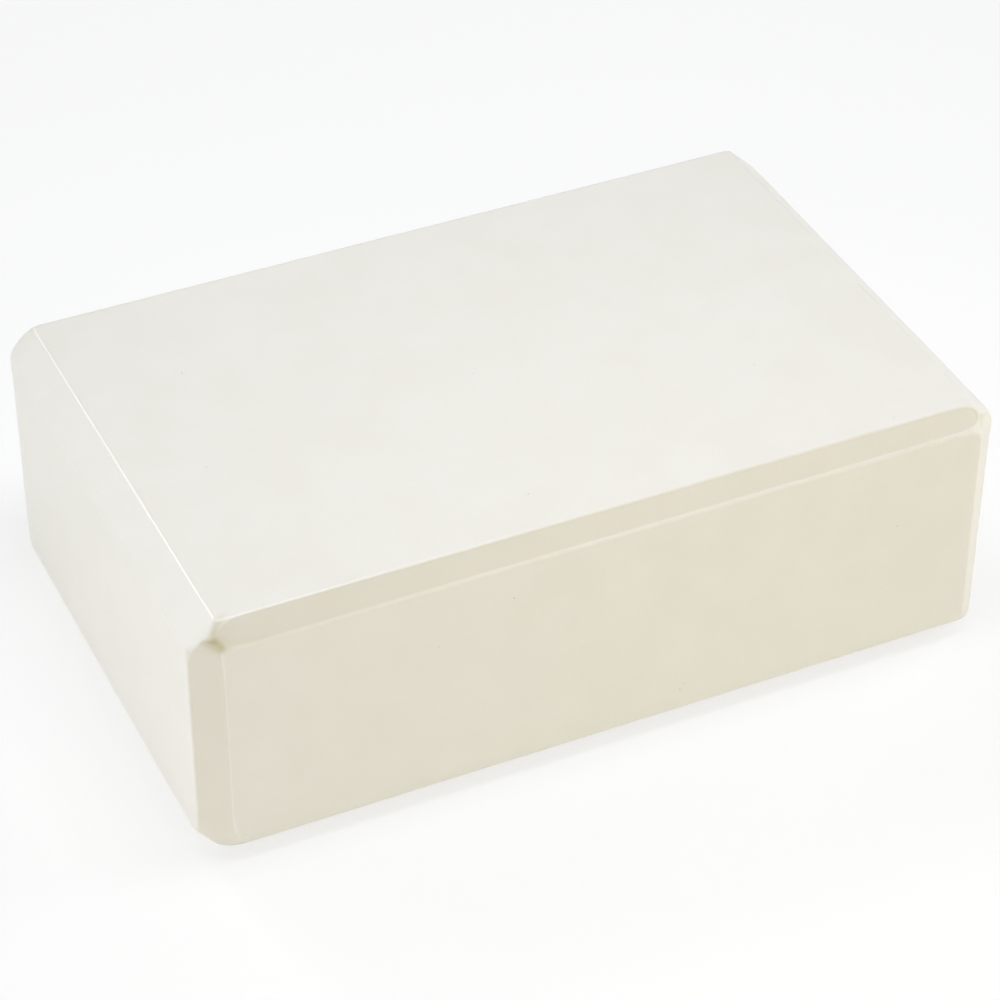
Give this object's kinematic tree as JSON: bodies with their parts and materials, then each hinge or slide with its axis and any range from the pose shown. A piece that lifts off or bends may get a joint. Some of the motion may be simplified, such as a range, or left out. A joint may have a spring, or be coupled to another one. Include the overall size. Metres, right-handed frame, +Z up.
{
  "type": "yoga block",
  "caption": "Rectangular closed-cell foam yoga block with chamfered edges, laminated with a thin bond at mid height.",
  "frame": {"origin": "middle of the base, the large face that the block lies on", "axes": "+X along the length, +Y across the width away from the pictured long side, +Z up"},
  "size_m": [0.228, 0.147, 0.076],
  "materials": {
    "eva_foam": "matte",
    "bond_adhesive": "matte"
  },
  "bodies": {
    "root": {"lower_slab": "eva_foam", "bond_film": "bond_adhesive", "upper_slab": "eva_foam"}
  },
  "joints": []
}
